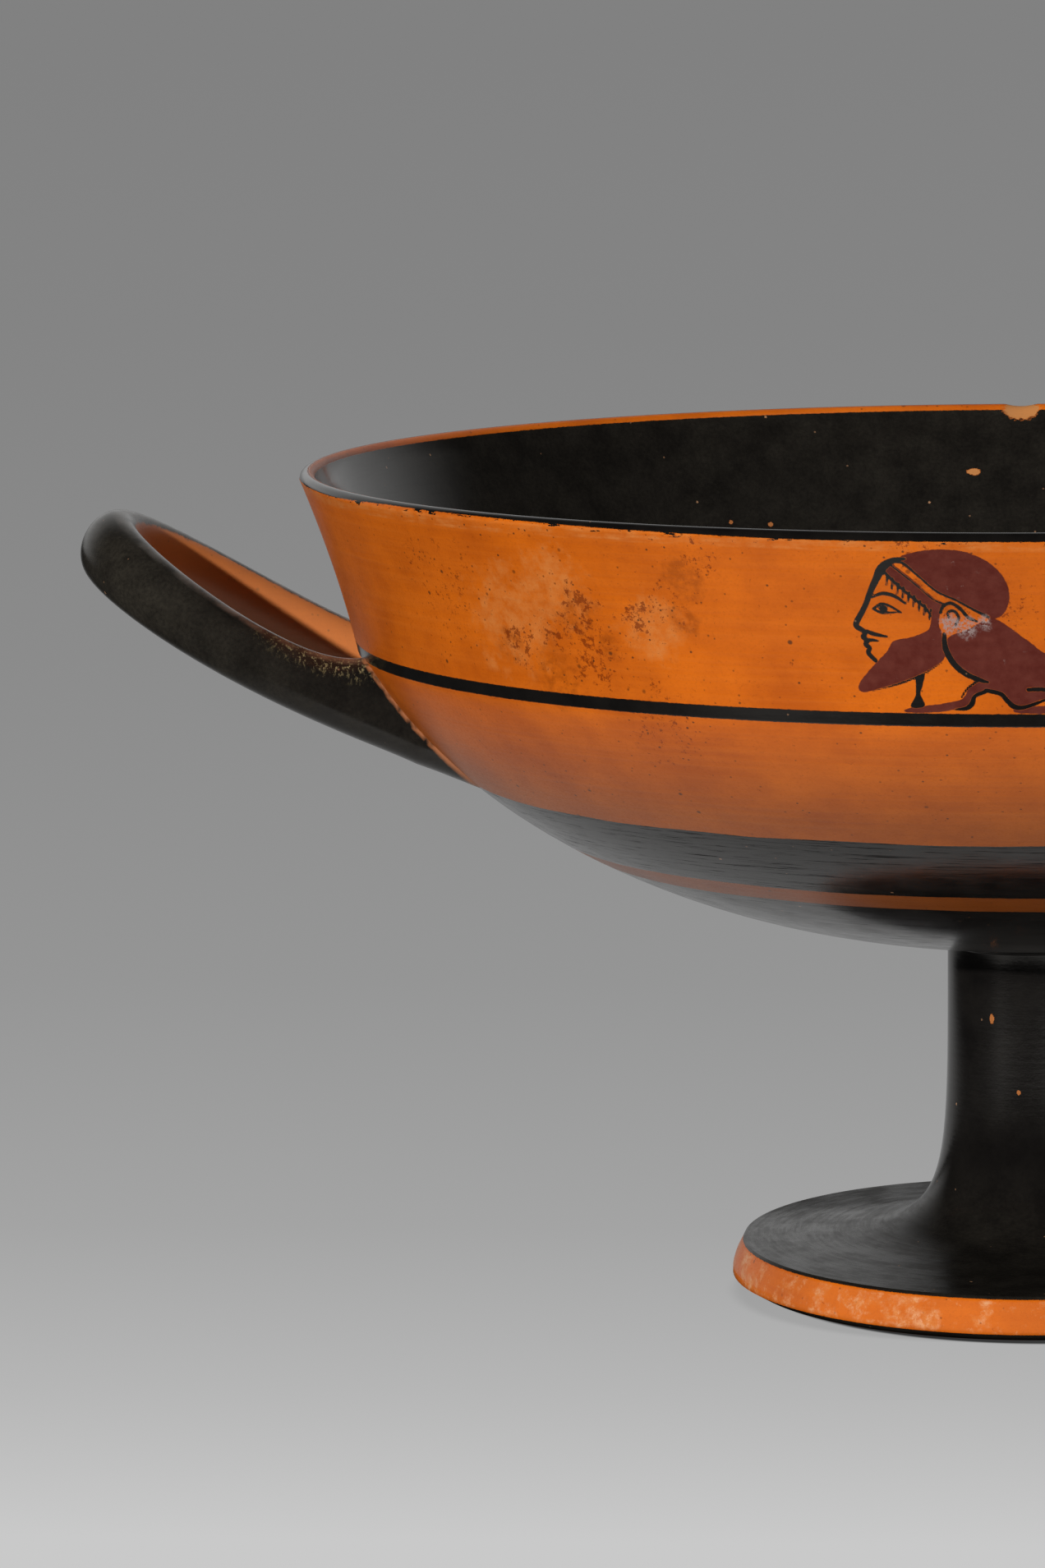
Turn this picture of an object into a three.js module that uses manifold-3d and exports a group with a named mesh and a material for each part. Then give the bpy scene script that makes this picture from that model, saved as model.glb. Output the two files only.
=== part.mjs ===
// Kylix (Attic lip cup): one fired piece of wheel-thrown bowl, stem and foot with two rolled handles.
// Millimetres, +Z up. The origin is at the centre of the resting foot; the handles point along X.

import * as THREE from 'three';
import { mergeVertices } from 'three/addons/utils/BufferGeometryUtils.js';
import Module from 'manifold-3d';

const wasm = await Module();
wasm.setup();

// Driving dimensions, taken on the cup's half section. A pair is [radius, height]; a pull is the point that
// draws a curve out between its ends.
const rimRadius = 105;
const rimHeight = 120.4;
const rimThickness = 3;
const shoulder = [96.9, 94.3]; // outer angle where the lip springs from the bowl
const innerShoulder = [93.3, 92.9];
const lipPull = [99.6, 106];
const innerLipPull = [96, 106];
const bowlPulls = [[82.4, 68.2], [44.3, 52]];
const innerBowlPulls = [[43, 56.8], [79.5, 70.2]];
const bowlFloorHeight = 56.8;
const bowlUndersideHeight = 51.8;
const stemRadius = 11.5;
const stemTopHeight = 50.3;
const stemPullHeights = [5, 9];
const footTop = [41.4, 6.4];
const footEdgePulls = [[42, 5], [43.2, 3.4]];
const footLowerEdge = [43.1, 1.3];
const footContactRadius = 40.8; // outer edge of the flat ring that the cup stands on
const footRingRadius = 36.6; // its inner edge
const hollow = [35.6, 1];
const hollowPulls = [[24, 4.2], [7, 4]];
const stemBore = [6, 16]; // the hollow under the foot runs up into the stem
const stemBoreTop = [5.4, 34];
const stemBoreHeight = 40;

const handleRootRadius = 85.9;
const handleRootHeight = 81.8;
const handleTipRadius = 133.9;
const handleTipHeight = 108.9;
const handleHalfSpread = 23.1; // half the distance between the two roots of one handle
const handleBulge = 2.7; // how far the arms bow apart halfway along
const handleSag = 6.9; // how far the arms hang under a straight line from root to tip
const handleOutPower = 0.73; // the loop in plan is a superellipse with these two powers
const handleSidePower = 1.16;
const handleStub = 8; // length of rod buried in the wall and trimmed inside it
const stubShare = 0.1;
const rodHalfWidth = 3.9;
const rodHalfHeight = 3.3; // at the root
const rodTipGrowth = 1.9; // how much taller the rod is at the tip
const trimDepth = 1.6; // how far outside the inner wall the buried ends stop

const turns = 60; // facets round the axis
const rodRings = 40;
const rodFacets = 14;
const weldDistance = 1e-4;
const sliver = 0.02; // edges shorter than this, left where the rods meet the wall, are closed up

// Half section. Each stretch is a curve in the plane (radius, height), run down the outside first.

function flat([radius, height]) {
  return new THREE.Vector2(radius, height);
}

function stretch(curve, pieces) {
  return curve.getPoints(pieces).slice(1);
}

function quadratic(...points) {
  return new THREE.QuadraticBezierCurve(...points.map(flat));
}

function cubic(...points) {
  return new THREE.CubicBezierCurve(...points.map(flat));
}

const rimRound = rimThickness / 2;
const rimCentre = [rimRadius - rimRound, rimHeight - rimRound];

function outerWall() {
  const rimEdge = [rimRadius, rimCentre[1]];
  const lip = quadratic(rimEdge, lipPull, shoulder);
  const bowl = cubic(shoulder, ...bowlPulls, [stemRadius + 0.8, bowlUndersideHeight]);
  return [flat(rimEdge), ...stretch(lip, 5), ...stretch(bowl, 10)];
}

function stemAndFoot() {
  const stemTop = [stemRadius, stemTopHeight];
  const stem = cubic(stemTop, ...stemPullHeights.map((height) => [stemRadius, height]), footTop);
  const edge = cubic(footTop, ...footEdgePulls, footLowerEdge);
  return [flat(stemTop), ...stretch(stem, 9), ...stretch(edge, 4), flat([footContactRadius, 0])];
}

function underside() {
  const foot = cubic(hollow, ...hollowPulls, stemBore);
  const dome = quadratic(stemBoreTop, [stemBoreTop[0], stemBoreHeight], [0, stemBoreHeight]);
  return [flat([footRingRadius, 0]), flat(hollow), ...stretch(foot, 5), flat(stemBoreTop), ...stretch(dome, 2)];
}

// The inner wall, run up from the floor of the bowl; `inset` moves it outwards into the wall.
function innerWall(inset) {
  const lowered = ([radius, height]) => [radius, height - inset];
  const widened = ([radius, height]) => [radius + inset, height];
  const angle = [innerShoulder[0] + inset, innerShoulder[1] - inset / 2];
  const [floorPull, sidePull] = innerBowlPulls.map(lowered);
  const bowl = cubic([0, bowlFloorHeight - inset], floorPull, widened(sidePull), angle);
  const lip = quadratic(angle, widened(innerLipPull), widened([rimRadius - rimThickness, rimCentre[1]]));
  return [...bowl.getPoints(9), ...stretch(lip, 4)];
}

function rim() {
  const arc = new THREE.EllipseCurve(...rimCentre, rimRound, rimRound, Math.PI, 0, true);
  return stretch(arc, 4);
}

// Closed solids. Position is the only attribute that a manifold needs.

function toManifold(geometry) {
  geometry.deleteAttribute('normal');
  geometry.deleteAttribute('uv');
  const merged = mergeVertices(geometry, weldDistance);
  return new wasm.Manifold(new wasm.Mesh({
    numProp: 3,
    vertProperties: new Float32Array(merged.attributes.position.array),
    triVerts: new Uint32Array(merged.index.array),
  }));
}

// A lathe turns about Y, so it is tipped up to turn about Z.
function turned(profile) {
  const geometry = new THREE.LatheGeometry(profile, turns);
  geometry.rotateX(Math.PI / 2);
  return toManifold(geometry);
}

const handleRootX = Math.sqrt(handleRootRadius ** 2 - handleHalfSpread ** 2);
const handleRise = handleTipHeight - handleRootHeight;
const handleReach = handleTipRadius - handleRootX;

// The centre line of one handle: a loop that leaves the wall, rises and closes in a round tip.
class HandleLoop extends THREE.Curve {
  getPoint(t, target = new THREE.Vector3()) {
    const along = (t - stubShare) / (1 - 2 * stubShare);
    const buried = Math.max(-along, along - 1, 0) * (1 - 2 * stubShare) / stubShare;
    const angle = Math.PI * Math.min(Math.max(along, 0), 1);
    const out = Math.max(Math.sin(angle), 0) ** handleOutPower;
    const side = Math.sign(Math.cos(angle)) * Math.abs(Math.cos(angle)) ** handleSidePower;
    const stubRise = (handleRise - handleSag) / handleReach;
    return target.set(
      handleRootX + handleReach * out - handleStub * buried,
      -(handleHalfSpread * side + handleBulge * Math.sin(2 * angle)),
      handleRootHeight + handleRise * out - handleSag * out * (1 - out) - handleStub * buried * stubRise);
  }
}

// The rod is swept along the loop. Its section is an ellipse square to the line, taller towards the tip.
function handleRod() {
  const loop = new HandleLoop();
  const loopUp = new THREE.Vector3(-handleRise, 0, handleReach).normalize();
  const positions = [];
  const index = [];
  for (let ring = 0; ring <= rodRings; ring++) {
    const centre = loop.getPointAt(ring / rodRings);
    const tangent = loop.getTangentAt(ring / rodRings);
    const up = loopUp.clone().addScaledVector(tangent, -loopUp.dot(tangent)).normalize();
    const across = up.clone().cross(tangent);
    const out = THREE.MathUtils.clamp((centre.x - handleRootX) / handleReach, 0, 1);
    for (let facet = 0; facet < rodFacets; facet++) {
      const turn = (2 * Math.PI * facet) / rodFacets;
      const corner = centre.clone()
        .addScaledVector(across, rodHalfWidth * Math.cos(turn))
        .addScaledVector(up, (rodHalfHeight + rodTipGrowth * out) * Math.sin(turn));
      positions.push(...corner);
    }
  }
  const corner = (ring, facet) => ring * rodFacets + (facet % rodFacets);
  for (let facet = 0; facet < rodFacets; facet++) {
    for (let ring = 0; ring < rodRings; ring++) {
      const [a, b] = [corner(ring, facet), corner(ring, facet + 1)];
      const [c, d] = [corner(ring + 1, facet + 1), corner(ring + 1, facet)];
      index.push(a, b, c, a, c, d);
    }
    if (facet > 1) {
      index.push(corner(0, 0), corner(0, facet), corner(0, facet - 1));
      index.push(corner(rodRings, 0), corner(rodRings, facet - 1), corner(rodRings, facet));
    }
  }
  const geometry = new THREE.BufferGeometry();
  geometry.setAttribute('position', new THREE.Float32BufferAttribute(positions, 3));
  geometry.setIndex(index);
  return toManifold(geometry);
}

function cup() {
  const halfSection = [...outerWall(), ...stemAndFoot(), ...underside(), ...innerWall(0), ...rim()];
  const vessel = turned(halfSection.reverse());
  const wallCore = turned([...innerWall(trimDepth), flat([0, rimHeight])]);
  const rod = handleRod().subtract(wallCore);
  return vessel.add(rod).add(rod.rotate([0, 0, 180])).simplify(sliver);
}

function toMesh(solid, name, material) {
  const { numProp, vertProperties, triVerts } = solid.getMesh();
  const geometry = new THREE.BufferGeometry();
  const interleaved = new THREE.InterleavedBuffer(vertProperties, numProp);
  geometry.setAttribute('position', new THREE.InterleavedBufferAttribute(interleaved, 3, 0));
  geometry.setIndex(new THREE.BufferAttribute(triVerts, 1));
  geometry.computeVertexNormals();
  const mesh = new THREE.Mesh(geometry, material);
  mesh.name = name;
  return mesh;
}

const blackGloss = new THREE.MeshStandardMaterial({ color: 0x1c1a18, roughness: 0.3, metalness: 0 });

const kylix = new THREE.Group();
kylix.add(toMesh(cup(), 'kylix_cup', blackGloss));

export default kylix;
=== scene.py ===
import math

import bmesh
import bpy
import numpy as np
from mathutils import Matrix, Vector


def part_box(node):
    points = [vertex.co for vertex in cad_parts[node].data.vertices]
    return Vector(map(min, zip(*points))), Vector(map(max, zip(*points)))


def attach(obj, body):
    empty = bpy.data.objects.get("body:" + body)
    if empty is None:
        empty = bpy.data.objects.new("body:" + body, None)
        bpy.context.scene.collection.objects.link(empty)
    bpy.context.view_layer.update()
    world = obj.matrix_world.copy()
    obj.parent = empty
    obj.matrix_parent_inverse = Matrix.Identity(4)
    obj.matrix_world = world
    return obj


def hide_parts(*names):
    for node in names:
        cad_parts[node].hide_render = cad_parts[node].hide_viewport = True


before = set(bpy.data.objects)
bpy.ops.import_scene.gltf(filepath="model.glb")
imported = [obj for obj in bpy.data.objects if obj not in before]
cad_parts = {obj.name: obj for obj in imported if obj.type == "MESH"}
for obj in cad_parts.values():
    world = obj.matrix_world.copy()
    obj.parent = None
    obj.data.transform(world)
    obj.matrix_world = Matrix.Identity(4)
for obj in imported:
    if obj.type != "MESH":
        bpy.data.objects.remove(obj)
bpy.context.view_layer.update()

MM = 0.001
cup_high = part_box("kylix_cup")[1]
rim_radius, rim_height = cup_high.y / MM, cup_high.z / MM


# ------------------------------
# The place: a pale seamless floor that runs off into grey, and large soft lights above. The room in front
# of the cup is dark, so black slip that faces forward shows black, and slip that faces the floor shows grey.
# The camera has a long lens, stands a little above the rim and is turned to the left of the stem.

eye = Vector((0, -910.6, 201.2)) * MM
turn_left, tip_down, roll = np.radians((4.617, 7.973, -0.609))
forward = Vector((-math.sin(turn_left) * math.cos(tip_down), math.cos(turn_left) * math.cos(tip_down),
                  -math.sin(tip_down)))
level_right = Vector((math.cos(turn_left), math.sin(turn_left), 0))
level_up = level_right.cross(forward)
camera_right = level_right * math.cos(roll) + level_up * math.sin(roll)
camera_up = level_up * math.cos(roll) - level_right * math.sin(roll)

camera = bpy.data.objects.new("camera", bpy.data.cameras.new("camera"))
camera.data.sensor_fit = "VERTICAL"
camera.data.sensor_height = 24
camera.data.lens = 96.47
camera.data.clip_end = 100
camera.matrix_world = Matrix((camera_right, camera_up, -forward)).transposed().to_4x4()
camera.matrix_world.translation = eye
bpy.context.scene.collection.objects.link(camera)
bpy.context.scene.camera = camera
bpy.context.scene.view_settings.view_transform = "Standard"
bpy.context.scene.view_settings.look = "None"


def add(tree, kind, inputs=None, **settings):
    """One shader node. Settings are its properties; each input is a plain value or another node's output."""
    made = tree.nodes.new("ShaderNode" + kind)
    for name, value in settings.items():
        setattr(made, name, value)
    for socket, value in (inputs or {}).items():
        if isinstance(value, bpy.types.NodeSocket):
            tree.links.new(value, made.inputs[socket])
        else:
            made.inputs[socket].default_value = value
    return made


def math_node(tree, operation, *values):
    """The output of a Math node on up to three values or sockets."""
    return add(tree, "Math", dict(enumerate(values)), operation=operation).outputs[0]


def times(tree, *values):
    """The product of several values or sockets."""
    product = values[0]
    for value in values[1:]:
        product = math_node(tree, "MULTIPLY", product, value)
    return product


def scaled(tree, value, factor, onto=0.0):
    """A value times a factor, added onto another value."""
    return math_node(tree, "MULTIPLY_ADD", value, factor, onto)


def rescale(tree, value, from_low, from_high, to_low=0.0, to_high=1.0, easing="LINEAR"):
    """A value carried from one range to another, held at the ends."""
    return add(tree, "MapRange", {"Value": value, "From Min": from_low, "From Max": from_high,
                                  "To Min": to_low, "To Max": to_high}, interpolation_type=easing).outputs[0]


def distance_to(tree, place, spot):
    """How far a place is from a fixed spot."""
    return add(tree, "VectorMath", {0: place, 1: spot}, operation="DISTANCE").outputs["Value"]


def ramp(tree, factor, stops):
    """A colour ramp from (place, grey) stops."""
    made = add(tree, "ValToRGB", {"Fac": factor})
    points = made.color_ramp.elements
    while len(points) < len(stops):
        points.new(1)
    for point, (place, grey) in zip(points, stops):
        point.position = place
        point.color = (grey, grey, grey, 1)
    return made.outputs["Color"]


def empty_material(name):
    """A new material without nodes, and its node tree."""
    material = bpy.data.materials.new(name)
    material.use_nodes = True
    material.node_tree.nodes.clear()
    return material, material.node_tree


floor_material, tree = empty_material("pale_floor")
floor_place = add(tree, "TexCoord").outputs["Object"]
place = add(tree, "SeparateXYZ", {0: floor_place}).outputs
# The floor pales towards the front: its tone follows how steeply it is seen, height over distance.
least_distance, steepness_scale = 0.5, 3.5
distance = math_node(tree, "MAXIMUM", math_node(tree, "ADD", place["Y"], -eye.y), least_distance)
steepness = math_node(tree, "DIVIDE", eye.z, distance)
tone = ramp(tree, times(tree, steepness, steepness_scale), [
    (0.08, 0.2195), (0.235, 0.2307), (0.419, 0.2582), (0.605, 0.3005), (0.747, 0.3712),
    (0.842, 0.4678), (0.929, 0.584)])
# Painted shadows on the floor: a narrow dark crescent under the foot, and a faint wider one to its left: for
# each the centre, radius, width of the soft edge, and the tone's share inside.
shade = 1.0
for centre, radius, soft, darkest in (((0.0012, -0.0032, 0), 0.0404, 0.0012, 0.09),
                                      ((-0.0092, -0.0081, 0), 0.0350, 0.0030, 0.86)):
    away = distance_to(tree, floor_place, centre)
    shade = times(tree, shade, rescale(tree, away, radius - soft, radius, darkest, 1.0, "SMOOTHSTEP"))
shown = add(tree, "Emission", {"Color": tone, "Strength": shade})
# What the pot mirrors is smaller than what the camera sees: a lit sheet that ends just in front of the foot,
# opens out behind it, and lies on a dark floor.
opening_out = 0.35
sideways = scaled(tree, math_node(tree, "MAXIMUM", place["Y"], 0), -opening_out,
                  math_node(tree, "ABSOLUTE", place["X"]))
sheet = times(tree, rescale(tree, sideways, 0.10, 0.22, 1.08, 0.06, "SMOOTHSTEP"),
              rescale(tree, place["Y"], -0.24, -0.175, 0.05, 1.0, "SMOOTHSTEP"))
# Only part of it reaches matt clay as a glow from below.
glow_share = 0.27
light_path = add(tree, "LightPath").outputs
glow = scaled(tree, light_path["Is Diffuse Ray"], glow_share - 1, 1.0)
mirrored = add(tree, "Emission", {"Color": tone, "Strength": times(tree, sheet, glow)})
floor_shader = add(tree, "MixShader", {
    0: light_path["Is Camera Ray"], 1: mirrored.outputs[0], 2: shown.outputs[0]})
add(tree, "OutputMaterial", {"Surface": floor_shader.outputs[0]})

half_floor = 40
floor_mesh = bpy.data.meshes.new("floor")
floor_mesh.from_pydata([(half_floor * x, half_floor * y, 0) for x, y in ((-1, -1), (1, -1), (1, 1), (-1, 1))],
                       [], [(0, 1, 2, 3)])
floor_mesh.materials.append(floor_material)
floor = bpy.data.objects.new("floor", floor_mesh)
bpy.context.scene.collection.objects.link(floor)

world = bpy.data.worlds.new("room")
bpy.context.scene.world = world
world.use_nodes = True
tree = world.node_tree
tree.nodes.clear()
direction = add(tree, "SeparateXYZ", {0: add(tree, "TexCoord").outputs["Generated"]}).outputs
# A lit sheet hangs behind the cup: brighter a little above the horizon, gone at either side and overhead.
behind = rescale(tree, direction["Y"], 0.40, 0.81, 0.03, 1.0, "SMOOTHSTEP")
lifted = ramp(tree, direction["Z"], [(0.0, 0.26), (0.1, 0.55), (0.4, 0.5), (0.7, 0.2)])
room = add(tree, "Background", {"Color": lifted, "Strength": behind})
grey = add(tree, "Background", {"Color": (0.2195, 0.2195, 0.2195, 1)})
seen = add(tree, "MixShader", {0: add(tree, "LightPath").outputs["Is Camera Ray"],
                               1: room.outputs[0], 2: grey.outputs[0]})
add(tree, "OutputWorld", {"Surface": seen.outputs[0]})

# Each lamp: name, turn to the left of the camera and height in degrees, metres away, width, watts. The gloss
# mirrors the floor and the room alone, not the lamps.
aim = Vector((0, 0, 0.09))
for name, turn_of, lift, away, width, watts in (("key", 20, 15, 2.4, 0.05, 66),
                                                ("fill_right", -45, 30, 2.0, 1.0, 4),
                                                ("overhead", 180, 70, 1.6, 1.0, 4)):
    lamp = bpy.data.lights.new(name, "AREA")
    lamp.size = width
    lamp.energy = watts
    light = bpy.data.objects.new(name, lamp)
    turned, raised = math.radians(turn_of), math.radians(lift)
    light.location = Vector((-math.sin(turned) * math.cos(raised), -math.cos(turned) * math.cos(raised),
                             math.sin(raised))) * away + aim
    light.rotation_euler = (aim - light.location).to_track_quat("-Z", "Y").to_euler()
    light.visible_glossy = False
    bpy.context.scene.collection.objects.link(light)


# ------------------------------
# The thrown body: bowl with its offset lip, stem and disc foot, of orange clay turned on the wheel, painted
# with black slip and a little added red before it was fired. The half section runs from the top of the rim
# down the outside, round the foot and up the hollow under it, then up the inside of the bowl to the rim.

rim_round = 1.1
shoulder = (96.9, 94.3)          # the angle between lip and bowl
lip_wall = 3.6
inner_shoulder = (shoulder[0] - lip_wall, shoulder[1] - 1.4)
stem_radius, stem_top = 11.5, 51.8
foot_top, foot_low_edge = (41.4, 6.4), (43.1, 1.3)
contact_radius, ring_radius = 40.8, 36.6    # the flat ring that the cup stands on
bowl_floor = stem_top + 5.0
bore, bore_top = 6.0, 40.0


def bezier(points, count):
    """A Bezier curve of any degree at count even steps: each pass blends neighbouring points by the step."""
    step = np.linspace(0, 1, count)[:, None]
    blended = [np.array(point, float) + 0 * step for point in points]
    while len(blended) > 1:
        blended = [a + (b - a) * step for a, b in zip(blended, blended[1:])]
    return blended[0]


def arc(centre, radius, start, end, count):
    """Points on a circle from one angle to another, in degrees."""
    angle = np.radians(np.linspace(start, end, count))
    return np.array(centre) + radius * np.stack([np.cos(angle), np.sin(angle)], axis=-1)


rim_centre = (rim_radius - rim_round, rim_height - rim_round)
lip_curve = [(rim_radius, rim_centre[1]), (99.6, 106), shoulder]
bowl_curve = [shoulder, (82.4, 68.2), (44.3, 52), (stem_radius + 0.8, stem_top)]
inner_bowl_curve = [(0, bowl_floor), (43, bowl_floor), (79.5, 70.2), inner_shoulder]
inner_lip_curve = [inner_shoulder, (96, 106), (rim_radius - 2 * rim_round, rim_centre[1])]
section_parts = [
    arc(rim_centre, rim_round, 90, 0, 7),
    bezier(lip_curve, 112)[1:],
    bezier(bowl_curve, 40)[1:],
    # a thin fillet where the stem was luted on, and two close rows that keep the stem straight below it
    arc((stem_radius + 0.1, stem_top - 1.6), 0.2, 70, -70, 5),
    [(stem_radius + 0.01, stem_top - 1.85), (stem_radius, stem_top - 1.95)],
    # stem and top of the foot, with a row close to its edge that keeps the edge crisp
    np.insert(bezier([(stem_radius, stem_top - 4), (stem_radius, 5), (stem_radius, 9), foot_top], 30), 29,
              (foot_top[0] - 0.06, foot_top[1] + 0.005), axis=0),
    bezier([foot_top, (42, 5), (43.2, 3.4), foot_low_edge], 9)[1:],
    [(contact_radius, 0), (ring_radius, 0)],
    bezier([(ring_radius - 1, 1), (24, 4.2), (bore + 1, 4), (bore, 16)], 12),
    bezier([(bore - 0.6, bore_top - 6), (bore - 1, bore_top), (0, bore_top)], 5),
    bezier(inner_bowl_curve, 34),
    bezier(inner_lip_curve, 14)[1:],
    arc(rim_centre, rim_round, 180, 90, 7)[1:-1],
]
section = np.concatenate([np.array(part, float) for part in section_parts])
run = np.concatenate([[0], np.cumsum(np.hypot(*np.diff(section, axis=0).T))])   # length run along the section
part_start = np.cumsum([0] + [len(part) for part in section_parts])
run_foot_edge = run[part_start[6]]
run_underfoot = run[part_start[7]]
run_bowl_floor = run[part_start[10]]
run_all = run[-1]
outside = slice(part_start[1], part_start[3])     # the section's points on lip and bowl


def run_outside(height):
    """Length run from the top of the rim down the outside to a height on the lip or the bowl."""
    return float(np.interp(height, section[outside, 1][::-1], run[outside][::-1]))


# Turned columns stand close together across the painted figure and wide apart round the rest.
lip_scale = 101.0     # the figure's across-lip measure: millimetres to each radian of turn
figure_half, chip_half = np.radians((17.5, 2.4))
front = -math.pi / 2
around = front + np.concatenate([
    np.linspace(-figure_half, figure_half, 240),
    np.linspace(figure_half, math.pi - chip_half, 50)[1:-1],
    np.linspace(math.pi - chip_half, math.pi + chip_half, 18),
    np.linspace(math.pi + chip_half, 2 * math.pi - figure_half, 50)[1:-1]])
rows, columns = len(section), len(around)
section_radius, section_height = section[:, :1], section[:, 1:]
body_points = np.stack([section_radius * np.cos(around), section_radius * np.sin(around),
                        section_height + 0 * around], axis=-1).reshape(-1, 3)

# Chips: middle and half sizes in millimetres. The first, on the back of the rim, is deep enough to see.
chips = [((-0.9, 103.0, 119.6), (3.1, 2.2, 1.9)), ((-8.5, 98.4, 110.0), (1.15, 2.5, 0.6)),
         ((-40.6, 87.0, 102.7), (0.4, 2.0, 0.4)), ((-46.7, 84.0, 103.4), (0.35, 2.0, 0.35)),
         ((-5.0, -10.2, 40.5), (0.36, 1.5, 0.7)), ((-1.1, -11.5, 29.8), (0.3, 0.6, 0.35))]
chip_reach = np.linalg.norm((body_points - chips[0][0]) / chips[0][1], axis=1)[:, None]
chip_depth, chip_pressed = 0.8, (0, 0.5, -0.85)
body_points += chip_depth * np.clip(1 - chip_reach ** 2, 0, 1) * chip_pressed
body_points *= MM

# Where each point of the outside lip lies in the figure's own flat measure: across from the cup's front,
# up from the ground line that the figure stands on. Points off the figure's patch keep a far-off value.
ground = 96.1
off_patch, patch_margin = -3.0, 1.001
across = lip_scale * (around - front) + 0 * section_height
above = section_height - ground + 0 * around
on_patch = ((np.arange(rows)[:, None] < part_start[2])
            & (np.abs(across) < lip_scale * figure_half * patch_margin))


def smooth_outline(points, steps=10, closed=True):
    """A Catmull-Rom curve through the points: between two of them each coordinate is a cubic that also leans
    on the two points beyond."""
    points = np.array(points, float)
    if closed:
        before, start, end, after = (np.roll(points, shift, 0) for shift in (1, 0, -1, -2))
    else:
        padded = np.concatenate([points[:1], points, points[-1:]])
        before, start, end, after = padded[:-3], padded[1:-2], padded[2:-1], padded[3:]
    t = (np.arange(steps) / steps)[None, :, None]
    before, start, end, after = (p[:, None, :] for p in (before, start, end, after))
    curve = 0.5 * (2 * start + (end - before) * t + (2 * before - 5 * start + 4 * end - after) * t ** 2
                   + (3 * start - before - 3 * end + after) * t ** 3)
    curve = curve.reshape(-1, points.shape[1])
    return curve if closed else np.concatenate([curve, points[-1:]])


def edge_distance(outline, closed, widths=None):
    """Distance from every patch point to a polyline, less the line's half width where widths are given."""
    spots = np.stack([across[on_patch], above[on_patch]], axis=-1)
    ends = np.roll(outline, -1, 0) if closed else outline[1:]
    starts = outline if closed else outline[:-1]
    nearest = np.full(len(spots), 1e3)
    for index, (a, b) in enumerate(zip(starts, ends)):
        step = b - a
        share = np.clip((spots - a) @ step / max(step @ step, 1e-9), 0, 1)
        gap = np.hypot(*(spots - a - share[:, None] * step).T)
        if widths is not None:
            gap = gap - 0.5 * (widths[index] + share * (widths[index + 1] - widths[index]))
        nearest = np.minimum(nearest, gap)
    return nearest


def filled(points):
    """Signed distance to a smooth closed shape, in millimetres, positive inside: the edge distance, with its
    sign from how many times a ray to the right crosses the outline."""
    outline = smooth_outline(points)
    spots_x, spots_y = across[on_patch], above[on_patch]
    inside = np.zeros(len(spots_x), bool)
    for (ax, ay), (bx, by) in zip(outline, np.roll(outline, -1, 0)):
        if ay != by:
            crossing = (bx - ax) * (spots_y - ay) / (by - ay) + ax
            inside ^= ((ay > spots_y) != (by > spots_y)) & (spots_x < crossing)
    distance = edge_distance(outline, True)
    return np.where(inside, distance, -distance)


def stroke(points, steps=8):
    """Signed distance to a brush line through (across, up, width) points, positive inside."""
    line = smooth_outline(points, steps, closed=False)
    return -edge_distance(line[:, :2], False, line[:, 2])


def layer(*shapes):
    """One attribute on the whole body from shapes on the patch: the greatest signed distance wins."""
    values = np.full(across.shape, off_patch)
    values[on_patch] = np.maximum(np.maximum.reduce(shapes), off_patch)
    return values.ravel()


# The figure on the lip: a siren, a bird with a bearded man's head in a close cap, facing left.
cap = filled([
    (-16.9, 20.5), (-14.7, 21.6), (-11.2, 22.2), (-7.5, 21.8), (-4.5, 20.3), (-2.6, 17.9), (-2.2, 15.6),
    (-2.8, 13.8), (-3.9, 12.9), (-5.4, 13.0), (-9.2, 14.9), (-12.0, 15.9), (-14.2, 17.9), (-16.4, 19.6)])
hair_roll = filled([
    (-18.3, 19.4), (-17.3, 20.3), (-16.4, 19.8), (-14.0, 17.7), (-11.8, 15.6), (-10.9, 14.9), (-11.2, 12.6),
    (-12.2, 12.9), (-12.6, 14.0), (-15.0, 16.0), (-16.9, 17.8)])
fillet = stroke([(-16.3, 20.2, 0.75), (-13.9, 18.1, 0.7), (-11.6, 16.0, 0.7), (-9.2, 14.85, 0.7),
                 (-5.2, 12.7, 0.6)])
beard = filled([
    (-11.4, 13.6), (-12.2, 13.4), (-12.7, 11.4), (-14.7, 10.4), (-17.4, 9.7), (-18.4, 8.3), (-20.1, 6.6),
    (-22.4, 4.0), (-22.4, 2.8), (-20.8, 2.9), (-16.6, 4.2), (-13.6, 5.5), (-11.2, 7.0), (-10.5, 8.8),
    (-11.0, 10.6), (-11.2, 12.4)])
bird = filled([
    (-10.4, 10.0), (-9.6, 10.7), (-7.6, 11.4), (-5.4, 12.7), (-3.7, 12.7), (-1.4, 11.1), (0.6, 9.6),
    (2.6, 8.1), (6.0, 7.2), (12.0, 6.7), (21.0, 5.9), (27.4, 5.0), (27.0, 2.9), (21.0, 3.6), (14.0, 3.1),
    (8.0, 2.6), (4.0, 2.4), (1.6, 1.8), (-0.4, 1.0), (-1.7, 1.2), (-3.2, 2.7), (-5.6, 3.4), (-7.9, 5.3),
    (-9.6, 6.8), (-10.4, 8.5)])
near_leg = filled([
    (-5.4, 4.7), (-6.7, 4.2), (-7.8, 3.3), (-8.7, 2.0), (-11.4, 1.35), (-13.9, 1.0), (-16.1, 0.6),
    (-16.4, 0.1), (-13.1, 0.1), (-9.8, 0.5), (-8.1, 0.7), (-7.3, 1.6), (-6.6, 2.6), (-4.8, 3.2)])
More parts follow.
